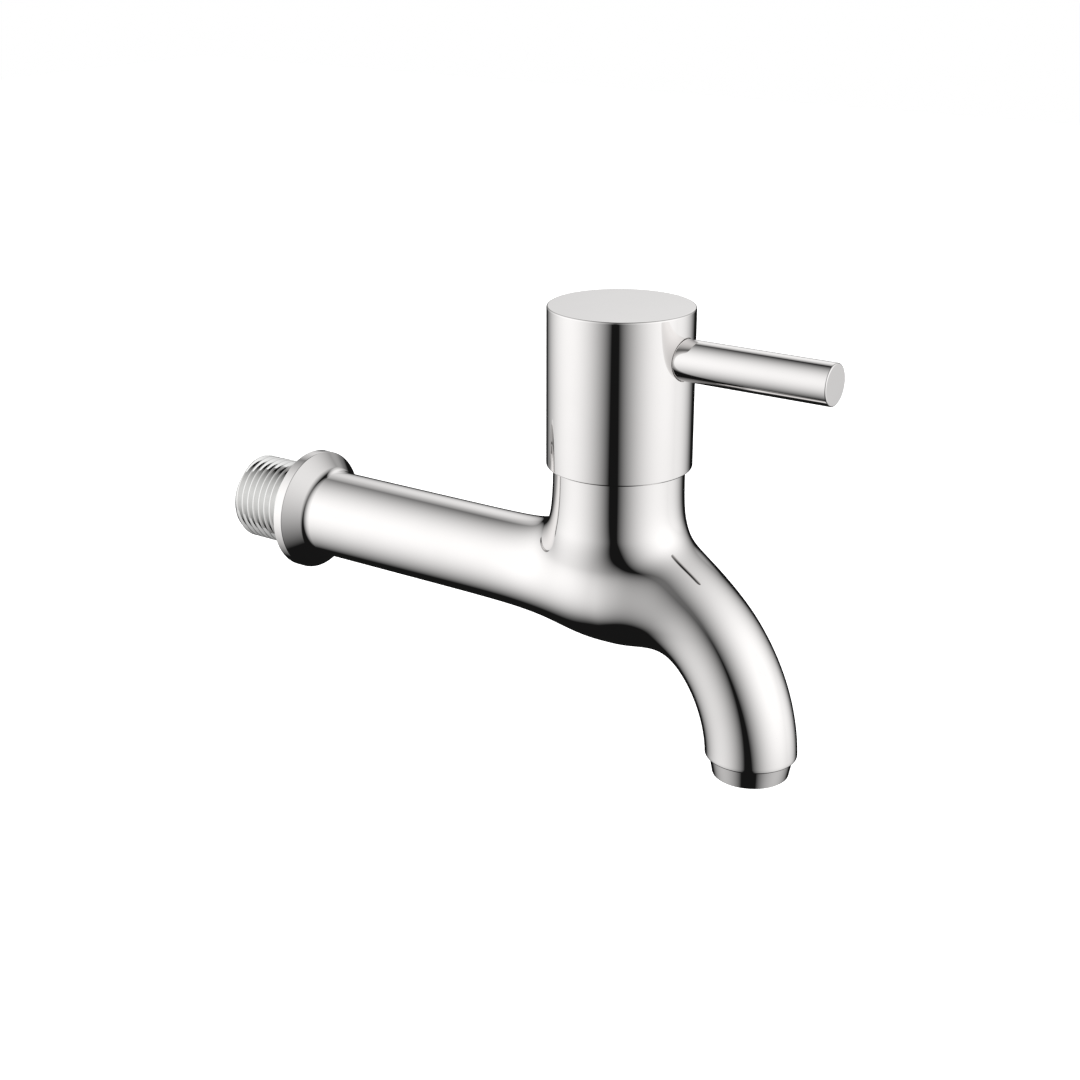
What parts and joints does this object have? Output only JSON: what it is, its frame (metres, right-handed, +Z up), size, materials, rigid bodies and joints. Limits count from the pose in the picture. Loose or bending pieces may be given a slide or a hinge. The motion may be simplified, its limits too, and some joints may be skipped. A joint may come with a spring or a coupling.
{
  "type": "wall-mounted sink faucet",
  "caption": "Chrome wall-mounted utility sink tap with a threaded inlet, conical wall flange, long neck, curved spout, aerator and a pin-lever handle on a quarter-turn ceramic cartridge.",
  "frame": {"origin": "centre of the wall plane, which is the back face of the body's wall flange, on the axis of the inlet thread", "axes": "+X away from the wall towards the spout and lever, +Z up along the valve's axis, +Y to the left as seen by someone who faces the wall"},
  "size_m": [0.1579, 0.032, 0.1003],
  "materials": {
    "chrome_plated_brass": "polished bright chrome on cast and turned brass",
    "chrome_plated_handle": "polished bright chrome on the turned cap and lever",
    "plain_brass": "turned, uncoated",
    "stainless_steel": "plain stamped or turned stainless steel",
    "black_rubber": "moulded synthetic rubber",
    "white_acetal": "moulded, satin",
    "alumina_ceramic": "lapped technical ceramic",
    "vulcanised_fibre": "pressed fibre"
  },
  "bodies": {
    "tap": {"body": "chrome_plated_brass", "cartridge_housing": "plain_brass", "head_gasket": "vulcanised_fibre", "seat_seal": "black_rubber", "seal_support_ring": "white_acetal", "fixed_disc": "alumina_ceramic", "glide_washer": "white_acetal", "aerator_shell": "chrome_plated_brass", "aerator_gasket": "black_rubber", "aerator_filter": "stainless_steel", "aerator_diffuser": "white_acetal", "aerator_mixer": "white_acetal", "aerator_outlet_screens": "stainless_steel"},
    "handle": {"handle_cap": "chrome_plated_handle", "lever_rod": "chrome_plated_handle", "grub_screw": "stainless_steel", "spline_insert": "plain_brass", "spindle": "plain_brass", "spindle_o_rings": "black_rubber", "circlip": "stainless_steel", "moving_disc": "alumina_ceramic"}
  },
  "joints": [
    {"name": "handle_turn", "type": "hinge", "parent": "tap", "child": "handle", "pos_m": [0.09, 0, 0.045], "axis": [0, 0, 1], "range_deg": [0, 90]}
  ]
}
